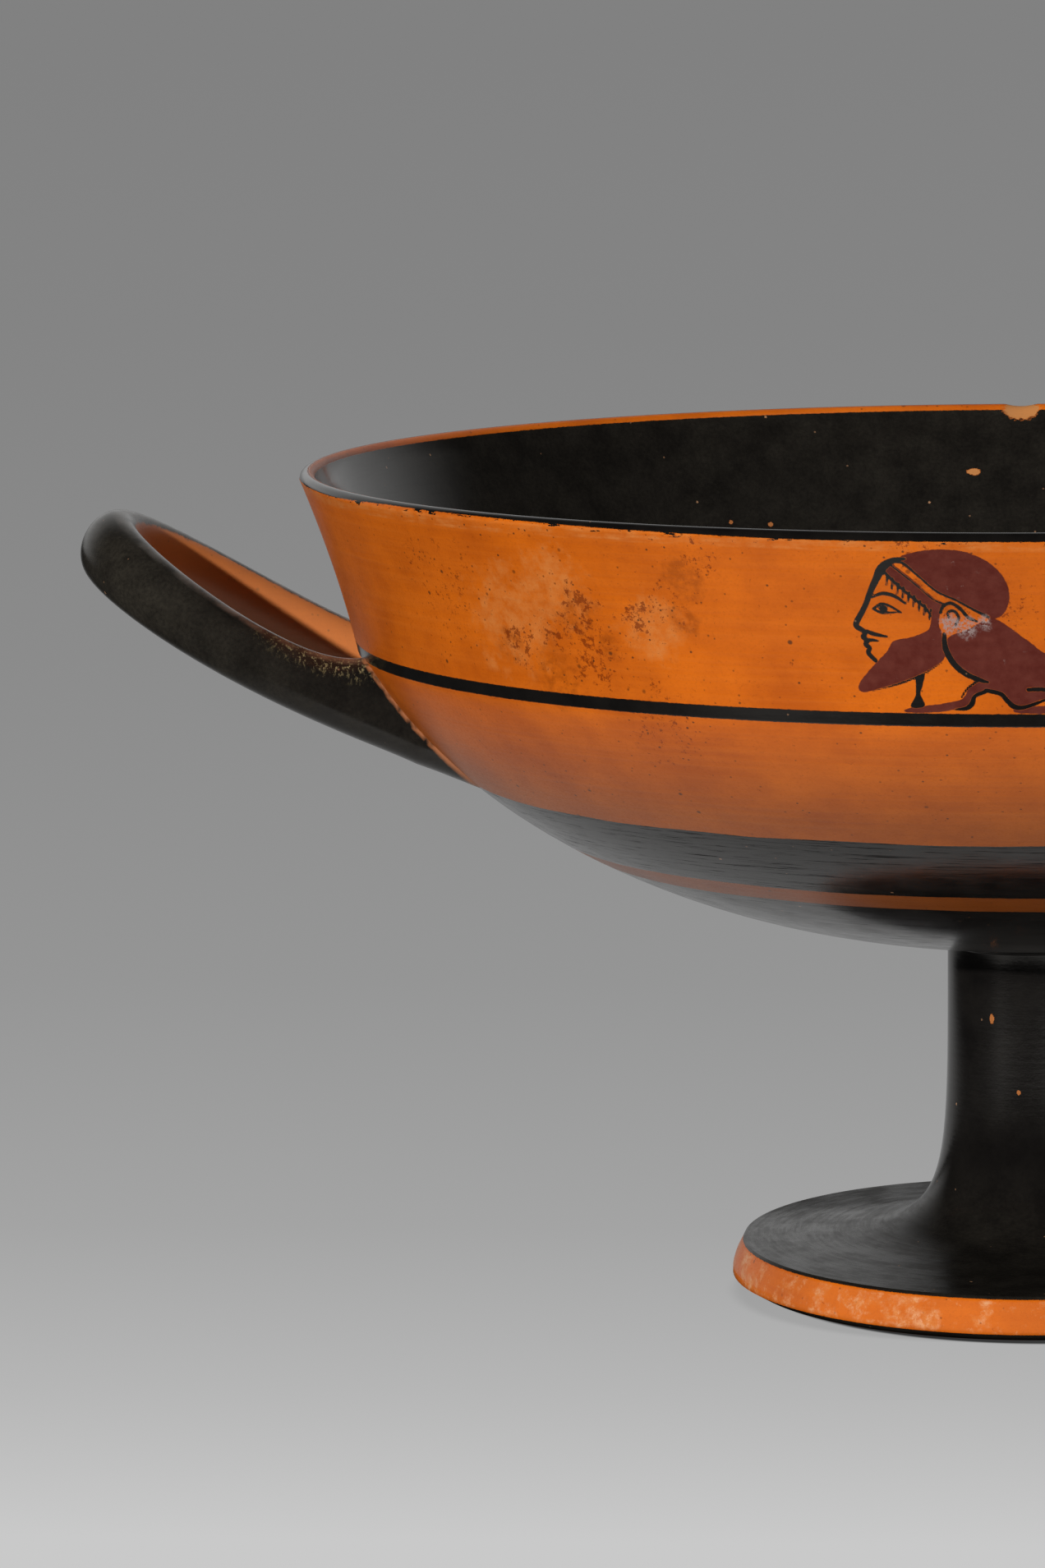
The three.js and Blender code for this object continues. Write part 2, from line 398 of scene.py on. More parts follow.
far_leg = filled([
    (5.4, 3.6), (4.4, 2.2), (3.6, 1.3), (0.6, 1.0), (-1.6, 0.7), (-1.2, 0.15), (3.0, 0.05), (5.3, 0.4),
    (6.2, 1.6), (7.4, 3.4)])
ear = filled([
    (-11.2, 13.0), (-10.9, 14.3), (-9.8, 14.8), (-8.6, 14.2), (-8.4, 12.9), (-9.3, 11.7), (-10.7, 10.9),
    (-11.3, 11.9)])
wing_lines = np.maximum.reduce([
    stroke([(3.0, 7.4, 0.3), (8.0, 5.9, 0.4), (17.0, 5.2, 0.25)]),
    stroke([(3.6, 5.8, 0.3), (10.0, 4.6, 0.35), (17.0, 4.3, 0.2)]),
    stroke([(20.0, 5.1, 0.3), (27.8, 4.4, 0.35)]),
    stroke([(20.0, 4.3, 0.3), (27.6, 3.5, 0.35)])])
red = layer(np.minimum.reduce([np.maximum.reduce([cap, hair_roll, beard, bird, near_leg, far_leg]),
                               -ear, -fillet, -wing_lines]))
ink = layer(
    # face: one line from the cap's front over brow, nose, lips and chin into the beard
    stroke([(-15.2, 20.9, 0.4), (-16.8, 20.6, 0.8), (-18.2, 19.6, 1.2), (-19.2, 17.9, 0.95),
            (-20.1, 16.1, 0.8), (-20.9, 14.3, 0.75), (-22.1, 12.3, 0.8), (-22.2, 11.6, 0.8),
            (-21.5, 11.15, 0.7), (-21.1, 10.8, 0.65), (-21.45, 10.2, 0.7), (-20.95, 9.75, 0.65),
            (-21.2, 9.2, 0.65), (-20.7, 8.7, 0.65), (-20.9, 8.0, 0.65), (-20.0, 7.0, 0.6)], 10),
    stroke([(-20.9, 9.75, 0.5), (-20.2, 9.8, 0.48), (-19.4, 9.65, 0.25)]),
    stroke([(-20.9, 11.0, 0.5), (-19.9, 10.6, 0.6), (-18.2, 10.3, 0.3)]),
    # eye, pupil, brow, fringe
    stroke([(-19.8, 14.0, 0.42), (-18.9, 14.65, 0.42), (-17.9, 14.6, 0.4), (-16.2, 13.6, 0.3)]),
    stroke([(-19.7, 13.95, 0.34), (-18.7, 13.5, 0.34), (-17.7, 13.55, 0.32), (-16.5, 13.7, 0.25)]),
    stroke([(-18.55, 14.07, 1.0), (-18.4, 14.07, 1.0)]),
    stroke([(-19.8, 15.6, 0.34), (-18.4, 16.15, 0.52), (-16.9, 15.8, 0.5), (-15.5, 14.8, 0.3)]),
    *[stroke([(-17.6 + 0.66 * k, 18.7 - 0.58 * k, 0.42), (-17.85 + 0.66 * k, 17.3 - 0.57 * k, 0.3)])
      for k in range(9)],
    # hair: its lower edge, and both edges of the fillet
    stroke([(-18.1, 19.2, 0.5), (-16.9, 17.8, 0.42), (-15.0, 16.0, 0.42), (-13.1, 14.4, 0.4),
            (-12.3, 13.2, 0.3)]),
    stroke([(-16.5, 20.5, 0.5), (-15.4, 20.2, 0.42), (-13.6, 18.5, 0.34), (-11.4, 16.5, 0.34),
            (-9.0, 15.35, 0.34), (-6.8, 14.1, 0.36), (-4.9, 13.1, 0.5)]),
    stroke([(-16.9, 19.8, 0.3), (-14.3, 17.6, 0.28), (-12.0, 15.5, 0.28), (-10.8, 14.9, 0.3)]),
    # ear: a rim and a curl
    stroke([(-11.1, 13.6, 0.45), (-10.7, 14.5, 0.5), (-9.7, 14.95, 0.5), (-8.5, 14.2, 0.5),
            (-7.6, 13.1, 0.45), (-6.4, 12.5, 0.35)]),
    stroke([(-9.2, 12.0, 0.4), (-8.75, 13.0, 0.42), (-9.3, 13.9, 0.42), (-10.1, 13.7, 0.4),
            (-10.0, 13.0, 0.4)]),
    # breast and belly
    stroke([(-20.8, 2.85, 0.15), (-16.6, 4.1, 0.35), (-13.6, 5.4, 0.3), (-11.2, 6.9, 0.2)]),
    stroke([(-10.7, 10.7, 0.6), (-10.6, 8.8, 0.85), (-9.6, 6.8, 0.85), (-8.0, 5.4, 0.8), (-5.9, 4.5, 0.6),
            (-5.0, 4.3, 0.3)]),
    stroke([(-5.4, 3.2, 0.6), (-3.4, 2.7, 0.65), (-2.5, 1.7, 0.7), (-1.6, 1.0, 0.75), (-0.2, 0.95, 0.6),
            (2.4, 1.9, 0.4)]),
    stroke([(-5.6, 3.0, 0.6), (-6.9, 2.4, 0.55), (-7.3, 1.4, 0.75), (-8.1, 0.75, 0.6), (-9.6, 0.6, 0.3)]),
    stroke([(-6.4, 4.5, 0.4), (-7.8, 3.5, 0.35), (-8.7, 2.2, 0.3)]),
    stroke([(0.2, 3.3, 0.6), (2.4, 3.3, 0.6), (6.0, 2.6, 0.45), (12.0, 2.9, 0.3)]),
    stroke([(5.2, 3.0, 0.3), (4.2, 1.8, 0.35), (3.4, 1.2, 0.3)]),
    stroke([(27.3, 5.1, 0.5), (27.2, 2.9, 0.5)]),
    # the other leg, in black behind the beard
    filled([(-14.7, 4.8), (-13.5, 5.4), (-13.9, 3.6), (-14.2, 2.6), (-13.7, 0.95), (-15.6, 0.8),
            (-14.9, 2.4), (-14.8, 3.6)]))


def grid_faces(rows, columns):
    """Quads between neighbouring points of a grid that closes on itself both ways."""
    row, column = np.meshgrid(np.arange(rows), np.arange(columns), indexing="ij")
    next_row, next_column = (row + 1) % rows, (column + 1) % columns
    corners = [row * columns + column, next_row * columns + column,
               next_row * columns + next_column, row * columns + next_column]
    return np.stack(corners, axis=-1).reshape(-1, 4)


def closed_piece(name, points, faces, floats):
    """A smooth closed mesh from points and quads, with one float attribute for each named array. Rows that
    shrink to the axis are welded to one point."""
    mesh = bpy.data.meshes.new(name)
    mesh.from_pydata(points.tolist(), [], faces.tolist())
    for label, values in floats.items():
        mesh.attributes.new(label, "FLOAT", "POINT").data.foreach_set("value", values.astype(np.float32))
    piece = bpy.data.objects.new(name, mesh)
    bpy.context.scene.collection.objects.link(piece)
    shell = bmesh.new()
    shell.from_mesh(mesh)
    bmesh.ops.remove_doubles(shell, verts=shell.verts, dist=1e-6)
    bmesh.ops.recalc_face_normals(shell, faces=shell.faces)
    shell.to_mesh(mesh)
    shell.free()
    mesh.polygons.foreach_set("use_smooth", np.ones(len(mesh.polygons), dtype=bool))
    mesh.update()
    return piece


body = closed_piece("cup_body", body_points, grid_faces(rows, columns),
                    {"run": np.repeat(run, columns), "red": red, "ink": ink})


def node_group(name, inputs, outputs):
    """An empty shader node group, the outputs that carry its inputs, and its end node. Inputs are given with
    their defaults: numbers, or None for a vector."""
    group = bpy.data.node_groups.new(name, "ShaderNodeTree")
    for socket, value in inputs.items():
        kind = "Vector" if value is None else "Float"
        made = group.interface.new_socket(socket, in_out="INPUT", socket_type="NodeSocket" + kind)
        if value is not None:
            made.default_value = value
    for socket, kind in outputs.items():
        group.interface.new_socket(socket, in_out="OUTPUT", socket_type="NodeSocket" + kind)
    start = group.nodes.new("NodeGroupInput")
    return group, [start.outputs[socket] for socket in inputs], group.nodes.new("NodeGroupOutput")


def mix_colour(tree, share, first, second, blend="MIX"):
    """One colour laid over another by a share."""
    first, second = ((*colour, 1) if isinstance(colour, tuple) else colour for colour in (first, second))
    return add(tree, "Mix", {0: share, 6: first, 7: second}, data_type="RGBA", blend_type=blend).outputs[2]


def stretched(tree, place, scale):
    """Coordinates multiplied axis by axis."""
    return add(tree, "VectorMath", {0: place, 1: scale}, operation="MULTIPLY").outputs[0]


def cloud(tree, place, scale, detail=3.0, rough=0.55):
    """Soft noise, about 0.5 on average."""
    return add(tree, "TexNoise", {"Vector": place, "Scale": scale, "Detail": detail,
                                  "Roughness": rough}).outputs[0]


def greatest(tree, *values):
    """The greatest of several values or sockets."""
    best = values[0]
    for value in values[1:]:
        best = math_node(tree, "MAXIMUM", best, value)
    return best


def dots(tree, place, apart, radius, kept):
    """Round dots about apart millimetres from each other, of which the kept share shows. Second: a random
    value for each dot."""
    solid = 0.55    # the share of a dot's radius inside its soft edge
    cells = add(tree, "TexVoronoi", {"Vector": place, "Scale": 1 / apart}).outputs
    draw = add(tree, "SeparateXYZ", {0: cells["Color"]}).outputs
    shown_dot = math_node(tree, "LESS_THAN", draw[0], kept)
    round_dot = rescale(tree, cells["Distance"], radius / apart, solid * radius / apart)
    return times(tree, shown_dot, round_dot), draw[1]


# Bare clay. Place is in millimetres; on the body its third axis is the length run along the wall, so that
# marks of the wheel run round the pot on every part of it. Soil strews brown and dark specks, a stain browns
# the surface, and where it is paled it is rubbed or crusted with lime.
clay, (place, soiled, stained, paled), group_out = node_group(
    "bare_clay", {"Place": None, "Soiled": 0.3, "Stained": 0.0, "Paled": 0.0},
    {"Color": "Color", "Roughness": "Float", "Height": "Float"})
orange, deep_orange = (0.60, 0.124, 0.004), (0.44, 0.082, 0.003)
wheel_orange, grain_brown = (0.66, 0.155, 0.012), (0.32, 0.062, 0.004)
pale_clay, stain_brown = (0.60, 0.20, 0.045), (0.24, 0.043, 0.001)
soil_brown, speck_brown, speck_dark = (0.17, 0.022, 0.0005), (0.17, 0.036, 0.002), (0.035, 0.014, 0.006)
wheel_marks = cloud(clay, stretched(clay, place, (0.02, 0.02, 1.1)), 1.0, 4)
mottle = cloud(clay, place, 0.07, 5, 0.65)
grain = cloud(clay, place, 2.6, 3, 0.6)
colour = mix_colour(clay, rescale(clay, mottle, 0.35, 0.66), orange, deep_orange)
colour = mix_colour(clay, rescale(clay, wheel_marks, 0.45, 0.75, 0, 0.3), colour, wheel_orange)
colour = mix_colour(clay, rescale(clay, grain, 0.52, 0.8, 0, 0.4), colour, grain_brown)
crust = rescale(clay, cloud(clay, place, 0.5, 5, 0.7), 0.36, 0.62, 0.1, 1.0)
colour = mix_colour(clay, times(clay, paled, crust), colour, pale_clay)
stain_patches = rescale(clay, cloud(clay, place, 0.6, 5, 0.7), 0.42, 0.6, 0.1, 0.8)
colour = mix_colour(clay, times(clay, stained, stain_patches), colour, stain_brown)
drift = rescale(clay, cloud(clay, place, 0.16, 3, 0.6), 0.38, 0.62, 0.55, 1.0)
strewn = times(clay, soiled, drift)
# Grains run together where much soil lies; elsewhere they are single.
soil_cover = 0.8
grains = cloud(clay, place, 1.0, 6, 0.8)
grain_floor = scaled(clay, strewn, -0.165, 0.665)
grain_share = rescale(clay, math_node(clay, "SUBTRACT", grains, grain_floor), 0.0, 0.03)
colour = mix_colour(clay, times(clay, grain_share, soil_cover), colour, soil_brown)
for apart, radius, share in ((0.8, 0.22, 0.45), (2.2, 0.42, 0.2)):
    speck, draw = dots(clay, place, apart, radius, times(clay, strewn, share))
    speck_colour = mix_colour(clay, rescale(clay, draw, 0.6, 0.65), speck_brown, speck_dark)
    colour = mix_colour(clay, times(clay, speck, soil_cover), colour, speck_colour)
# Heights are in millimetres and about 0 on average, in the slip too, so that no step shows between them.
wheel_relief, grain_relief = 0.05, 0.012
mean_relief = 0.5 * (wheel_relief + grain_relief)
relief = scaled(clay, wheel_marks, wheel_relief, scaled(clay, grain, grain_relief, -mean_relief))
for name, value in (("Color", colour), ("Roughness", rescale(clay, grain, 0.3, 0.7, 0.34, 0.46)),
                    ("Height", relief)):
    clay.links.new(value, group_out.inputs[name])

# Black slip: glossy where it lies thick. Worn, it goes grey-brown in patches; dulled, it loses its shine in
# broad streaks round the pot; scored, in fine ones. Pinholes let the clay through.
slip, (place, worn, dulled, scored), group_out = node_group(
    "black_slip", {"Place": None, "Worn": 0.3, "Dulled": 0.0, "Scored": 0.0},
    {"Color": "Color", "Roughness": "Float", "Height": "Float", "Gloss": "Float"})
black, brown_black = (0.0035, 0.0030, 0.0029), (0.0065, 0.0056, 0.0050)
thin_black, pinhole_clay = (0.052, 0.045, 0.033), (0.30, 0.16, 0.085)
streaks = cloud(slip, stretched(slip, place, (0.14, 0.14, 1.5)), 1.0, 5, 0.7)
patches = cloud(slip, place, 0.16, 5, 0.65)
grit = cloud(slip, place, 1.8, 3, 0.6)
colour = mix_colour(slip, rescale(slip, patches, 0.35, 0.7), black, brown_black)
thin = times(slip, rescale(slip, patches, 0.35, 0.65, 0.5, 1), rescale(slip, grit, 0.3, 0.75, 0.4, 1))
colour = mix_colour(slip, times(slip, thin, worn), colour, thin_black)
fainter, dull_loss = 0.45, 0.36
pinhole = greatest(slip, dots(slip, place, 2.6, 0.27, 0.05)[0],
                   times(slip, dots(slip, place, 1.3, 0.2, 0.035)[0], fainter))
colour = mix_colour(slip, pinhole, colour, pinhole_clay)
streaky = rescale(slip, math_node(slip, "ADD", streaks, scaled(slip, patches, 0.8, -0.4)), 0.32, 0.72)
scores = rescale(slip, cloud(slip, stretched(slip, place, (0.1, 0.1, 2.6)), 1.0, 5, 0.75),
                 0.51, 0.63, 0, 0.97)
roughness = math_node(slip, "ADD", rescale(slip, patches, 0.3, 0.7, 0.09, 0.16),
                      times(slip, dulled, rescale(slip, streaky, 0, 1, 0.10, 0.22)))
slip_relief, full_gloss = 0.006, 0.5
relief = scaled(slip, streaks, slip_relief, scaled(slip, grit, slip_relief, -slip_relief))
lost_gloss = greatest(slip, times(slip, dulled, streaky, dull_loss), times(slip, scored, scores))
for name, value in (("Color", colour), ("Roughness", roughness), ("Height", relief),
                    ("Gloss", scaled(slip, lost_gloss, -full_gloss, full_gloss))):
    slip.links.new(value, group_out.inputs[name])


def attribute(tree, name):
    """One of the mesh's named values."""
    return add(tree, "Attribute", attribute_name=name).outputs["Fac"]


def millimetres(tree):
    """The place on the pot in millimetres."""
    return stretched(tree, add(tree, "TexCoord").outputs["Object"], (1 / MM, 1 / MM, 1 / MM))


def uneven(tree, place, spread, scale, detail, rough=0.55):
    """Soft noise about 0, within the spread either way."""
    return scaled(tree, cloud(tree, place, scale, detail, rough), 2 * spread, -spread)


def between(tree, value, low, high):
    """Signed distance into a band, positive inside."""
    return math_node(tree, "MINIMUM", math_node(tree, "SUBTRACT", value, low),
                     math_node(tree, "SUBTRACT", high, value))


def covered(tree, depth):
    """How much of the paint shows at a signed distance into it: all of it but for a narrow soft edge."""
    return rescale(tree, depth, -0.05, 0.06)


def mix_value(tree, share, first, second):
    """One value that gives way to another by a share."""
    return add(tree, "Mix", {0: share, 2: first, 3: second}).outputs[0]


def under_slip(tree, share, clay_look, slip_look):
    """Roughness, gloss and height where the slip covers this share of the clay."""
    return (mix_value(tree, share, clay_look["Roughness"], slip_look["Roughness"]),
            mix_value(tree, share, full_gloss, slip_look["Gloss"]),
            mix_value(tree, share, clay_look["Height"], slip_look["Height"]))


def surface(tree, colour, roughness, gloss, height):
    """The material's own surface; its shine is slightly warm."""
    bump = add(tree, "Bump", {"Height": height, "Distance": MM}).outputs[0]
    shader = add(tree, "BsdfPrincipled", {
        "Base Color": colour, "Roughness": roughness, "Specular IOR Level": gloss,
        "Specular Tint": (1.0, 0.96, 0.9, 1), "Normal": bump, "IOR": 1.5})
    add(tree, "OutputMaterial", {"Surface": shader.outputs[0]})


def on_wall(left_degrees, height):
    """A place on the outside of lip or bowl, so many degrees left of the front, in millimetres."""
    radius = np.interp(height, section[outside, 1][::-1], section[outside, 0][::-1])
    turned_left = math.radians(left_degrees)
    return -radius * math.sin(turned_left), -radius * math.cos(turned_left), height


def blots(tree, place, spots, broken):
    """Soft round spots, the greatest of them: each is (degrees left of the front, height, reach in mm), and
    the broken noise, around 0, eats into its edge."""
    shares = []
    for left_degrees, height, reach in spots:
        eaten = scaled(tree, broken, reach, distance_to(tree, place, on_wall(left_degrees, height)))
        shares.append(rescale(tree, eaten, 1.25 * reach, 0.6 * reach))
    return greatest(tree, *shares)


# Where the black lies on the outside, from and to in heights above the ground. Elsewhere it is given by
# lengths along the wall: the line along the ground, the bare disc in the bowl and the bare strip in the rim.
upper_zone, washed_stripe, lower_zone_top = (76.4, 67.3), (68.5, 63.5), 64.8
ground_line, bare_disc, bare_strip = 2.5, 9, 1.2
slip_ragged, ink_ragged, red_ragged = 0.35, 0.25, 0.5     # how uneven each paint's edge is

painted, tree = empty_material("painted_cup")
position = millimetres(tree)
run_value = attribute(tree, "run")
ink_edge = attribute(tree, "ink")
flat = add(tree, "SeparateXYZ", {0: position}).outputs
along_wall = add(tree, "CombineXYZ", {0: flat[0], 1: flat[1], 2: run_value}).outputs[0]
wobble = uneven(tree, along_wall, 0.45, 0.06, 2)
ragged = uneven(tree, along_wall, 0.25, 1.3, 3)
broken = uneven(tree, along_wall, 1.2, 0.45, 4, 0.65)
inside_bowl = math_node(tree, "GREATER_THAN", run_value, run_bowl_floor)
# The black that laps over the rim is narrow half way to the left, and in places a short flap hangs down.
rim_lap = greatest(tree, rescale(tree, flat[0], -75, -30, 1.25, 1.95),
                   rescale(tree, flat[0], -87, -96, 1.25, 1.75))
rim_flaps = rescale(tree, cloud(tree, stretched(tree, along_wall, (0.22, 0.22, 0.9)), 1.0, 5, 0.75),
                    0.55, 0.6, -0.2, 0.4)
wavy_run = math_node(tree, "ADD", run_value, wobble)
slip_edge = greatest(
    tree,
    math_node(tree, "SUBTRACT", math_node(tree, "ADD", rim_lap, rim_flaps), run_value),
    between(tree, run_value, run_outside(ground), run_outside(shoulder[1])),
    between(tree, wavy_run, *map(run_outside, upper_zone)),
    math_node(tree, "MINIMUM", math_node(tree, "SUBTRACT", run_foot_edge - 0.1, run_value),
              math_node(tree, "SUBTRACT", wavy_run, run_outside(lower_zone_top))),
    between(tree, run_value, run_underfoot - ground_line, run_underfoot),
    between(tree, run_value, run_bowl_floor + bare_disc, run_all - bare_strip))
slip_edge = scaled(tree, ragged, slip_ragged, slip_edge)
slip_edge = greatest(tree, slip_edge, scaled(tree, ragged, ink_ragged, ink_edge))
chipped = []
for middle, half_sizes in chips:
    offset = add(tree, "VectorMath", {0: position, 1: middle}, operation="SUBTRACT").outputs[0]
    offset = stretched(tree, offset, [1 / size for size in half_sizes])
    away = add(tree, "VectorMath", {0: offset}, operation="LENGTH").outputs["Value"]
    raggedness, fullness = (1.7, 1.0) if half_sizes[0] > 1 else (3.6, 0.7)
    chipped.append(rescale(tree, scaled(tree, ragged, raggedness, away), 1.0, 0.8, 0, fullness))
# The foot's edge is nicked from a little behind the stem backwards.
nicked_from = 8
edge_band = between(tree, run_value, run_foot_edge - 0.8, run_foot_edge + 1)
nicks = times(tree, rescale(tree, edge_band, 0, 0.3),
              rescale(tree, cloud(tree, along_wall, 0.6, 4, 0.7), 0.58, 0.64),
              math_node(tree, "GREATER_THAN", flat[1], nicked_from))
chipped = greatest(tree, nicks, *chipped)
intact = math_node(tree, "SUBTRACT", 1, chipped)
# A thin wash of slip also covers the narrow stripe left between the two black zones.
wash = 0.32
washed = times(tree, rescale(tree, between(tree, run_value, *map(run_outside, washed_stripe)), 0, 0.2), wash)
slip_share = times(tree, greatest(tree, washed, covered(tree, slip_edge)), intact)
red_share = times(tree, covered(tree, scaled(tree, ragged, red_ragged, attribute(tree, "red"))),
                  math_node(tree, "SUBTRACT", 1, covered(tree, ink_edge)))

# Soil and stains gathered on the left of the lip, with a paler rubbed patch around them.
thin_share, stain_share, rub_share = 0.62, 0.7, 0.7
soil = blots(tree, position, [(36, 107, 5.5), (34.8, 102.5, 5.5), (31, 107.5, 3.5), (24, 116.5, 3.0),
                              (38.5, 104, 4.0), (43, 102, 3.5)], broken)
thin_soil = blots(tree, position, [(51, 111, 9.0), (3, 111.5, 6.5), (30, 93, 7.0), (8, 117, 4.0),
                                   (28, 109, 4.0)], broken)
soil = greatest(tree, soil, times(tree, thin_soil, thin_share))
stain = blots(tree, position, [(36.3, 107, 3.2), (44.5, 102, 2.6), (39.5, 98.6, 4.0), (26, 113.5, 3.2),
                               (33.8, 103.5, 2.0), (26.5, 107.5, 2.2), (5, 113, 5.0)], broken)
rubbed = blots(tree, position, [(43.5, 106, 7.0), (38, 111, 5.5), (29.5, 106.5, 4.5), (47.5, 99.3, 1.6)],
               broken)
# A narrow band under the black of the rim is paler, in patches.
worn_band = (1.3, 3.3)
rim_band_noise = cloud(tree, stretched(tree, along_wall, (0.12, 0.12, 1.2)), 1.0, 4, 0.7)
rim_paled_band = times(tree, rescale(tree, between(tree, run_value, *worn_band), 0, 0.3),
                 rescale(tree, rim_band_noise, 0.42, 0.6, 0.15, 0.75))
foot_rim = rescale(tree, between(tree, run_value, run_foot_edge, run_underfoot - 2.6), 0, 0.4)
foot_crust = times(tree, foot_rim, rescale(tree, cloud(tree, along_wall, 0.24, 5, 0.7), 0.49, 0.64))
clay_look = add(tree, "Group", {
    "Place": along_wall, "Stained": times(tree, stain, stain_share), "Soiled": scaled(tree, soil, 0.8, 0.22),
    "Paled": greatest(tree, times(tree, rub_share, rubbed), foot_crust, rim_paled_band)}, node_tree=clay).outputs

# Limescale whitens the foot's edge and chips show paler clay. The bowl is darkened towards its black zone:
# painted shade, where less light reaches the lower bowl.
lime_white, chip_clay, foot_clay = (0.66, 0.34, 0.17), (0.45, 0.195, 0.063), (0.60, 0.19, 0.075)
painted_shade_tint, painted_shade_heights, below_bowl = (0.66, 0.74, 1.0), (92, 79), 60
chip_cover, foot_cover, scuff_cover = 0.9, 0.2, 0.8
lime_patches = rescale(tree, cloud(tree, along_wall, 0.8, 5, 0.75), 0.45, 0.6, 0.0, 0.85)
clay_colour = mix_colour(tree, times(tree, foot_crust, lime_patches), clay_look["Color"], lime_white)
clay_colour = mix_colour(tree, times(tree, chipped, chip_cover), clay_colour, chip_clay)
clay_colour = mix_colour(tree, times(tree, foot_rim, foot_cover), clay_colour, foot_clay)
# Painted shade: the clay darkens from 92 mm down to 79 mm and stays dark down to 60 mm.
painted_shade_share = times(tree, rescale(tree, run_value, *map(run_outside, painted_shade_heights)),
                math_node(tree, "LESS_THAN", run_value, run_outside(below_bowl)))
clay_colour = mix_colour(tree, painted_shade_share, clay_colour, painted_shade_tint, "MULTIPLY")

# The slip keeps its shine on the stem, less of it under the bowl, and least on top of the foot. The two bands
# are in millimetres in from the foot's edge, and in heights.
foot_top_band, under_bowl_band = (36, 24), (78, 52.3)
foot_top_share = rescale(tree, run_value, *(run_foot_edge - inwards for inwards in foot_top_band))
under_bowl = rescale(tree, between(tree, run_value, *map(run_outside, under_bowl_band)), 0, 2)
on_foot = times(tree, foot_top_share, math_node(tree, "LESS_THAN", run_value, run_underfoot + 1))
slip_look = add(tree, "Group", {
    "Place": along_wall,
    "Worn": scaled(tree, greatest(tree, inside_bowl, foot_top_share), 0.22, 0.03),
    "Dulled": greatest(tree, on_foot, times(tree, under_bowl, 0.4)),
    "Scored": scaled(tree, under_bowl, 0.85, 0.15)}, node_tree=slip).outputs
# The back of the foot and its right side are duller than the left, and below its edge nothing shines.
duller_sides = [rescale(tree, scaled(tree, broken, 1.5, flat[axis]), start, end, 0, 0.97, "SMOOTHSTEP")
                for axis, start, end in ((1, -3, 19), (0, -37, -10))]
below_edge = rescale(tree, run_value, run_foot_edge + 3, run_foot_edge + 4)
foot_dull = times(tree, foot_top_share, greatest(tree, *duller_sides, below_edge))
foot_shine = math_node(tree, "SUBTRACT", 1, foot_dull)

deep_red, bright_red, scuff_pale = (0.082, 0.0135, 0.009), (0.115, 0.026, 0.018), (0.26, 0.17, 0.15)
red_roughness, red_gloss = 0.58, 0.3
red_patches = rescale(tree, cloud(tree, along_wall, 0.5, 4, 0.65), 0.35, 0.7)
red_colour = mix_colour(tree, red_patches, deep_red, bright_red)
scuff = rescale(tree, cloud(tree, along_wall, 0.9, 4, 0.7), 0.66, 0.74, 0, 0.35)
red_colour = mix_colour(tree, scuff, red_colour, scuff_pale)
colour = mix_colour(tree, slip_share, clay_colour, slip_look["Color"])
colour = mix_colour(tree, red_share, colour, red_colour)
# Behind the ear the paint is rubbed to a whitish scuff.
scuffed = blots(tree, position, [(5.6, 108.3, 1.3), (4.3, 107.9, 1.5), (3.1, 108.6, 1.1)], broken)
scuffed = times(tree, scuffed, rescale(tree, cloud(tree, along_wall, 2.4, 3, 0.7), 0.42, 0.55), scuff_cover)
colour = mix_colour(tree, scuffed, colour, (0.30, 0.23, 0.215))
roughness, gloss, height = under_slip(tree, slip_share, clay_look, slip_look)
roughness = mix_value(tree, red_share, roughness, red_roughness)
gloss = times(tree, mix_value(tree, red_share, gloss, red_gloss), greatest(tree, foot_shine, inside_bowl))
slip_thickness, red_thickness = 0.004, 0.006
height = scaled(tree, slip_share, slip_thickness, scaled(tree, red_share, red_thickness, height))
surface(tree, colour, roughness, gloss, height)
body.data.materials.append(painted)

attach(body, "root")
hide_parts("kylix_cup")


# ------------------------------
# The two handles: rods of clay rolled round, bent into a loop and pressed onto the bowl under the lip. They
# rise away from the cup. The outside is black; the side that faces into the loop is left bare.

root_radius, root_height = 85.9, 81.8
tip_radius, tip_height = 133.9, 108.9
half_spread = 23.1               # half the distance between the two roots
bow, sag, stub = 2.7, 6.9, 8.0
half_width, half_height, tip_growth = 3.9, 3.3, 1.9      # the rod grows taller towards the tip
bluntness, parting = 0.73, 1.16  # powers of the loop's plan: how blunt its tip is, how its arms part
half_wall = 1.7
root_x = math.sqrt(root_radius ** 2 - half_spread ** 2)
rise, reach = tip_height - root_height, tip_radius - root_x


def loop_line(share):
    """Centre line of the right handle from one buried end (share 0) to the other (share 1). The loop is a
    superellipse in plan whose height hangs a little under the straight line from root to tip."""
    stub_share = 0.1
    along = (share - stub_share) / (1 - 2 * stub_share)
    buried = np.maximum(np.maximum(-along, along - 1), 0) * (1 - 2 * stub_share) / stub_share
    angle = math.pi * np.clip(along, 0, 1)
    out = np.maximum(np.sin(angle), 0) ** bluntness
    side = np.sign(np.cos(angle)) * np.abs(np.cos(angle)) ** parting
    return np.stack([root_x + reach * out - stub * buried,
                     -(half_spread * side + bow * np.sin(2 * angle)),
                     root_height + rise * out - sag * out * (1 - out) - stub * buried * (rise - sag) / reach],
                    axis=-1)


def wall_core(height):
    """Radius in the middle of the wall at a height, where the handles' buried ends stop."""
    core = np.concatenate([bezier(inner_bowl_curve, 80), bezier(inner_lip_curve, 40)[1:]])
    return np.interp(height, core[:, 1], core[:, 0]) + half_wall


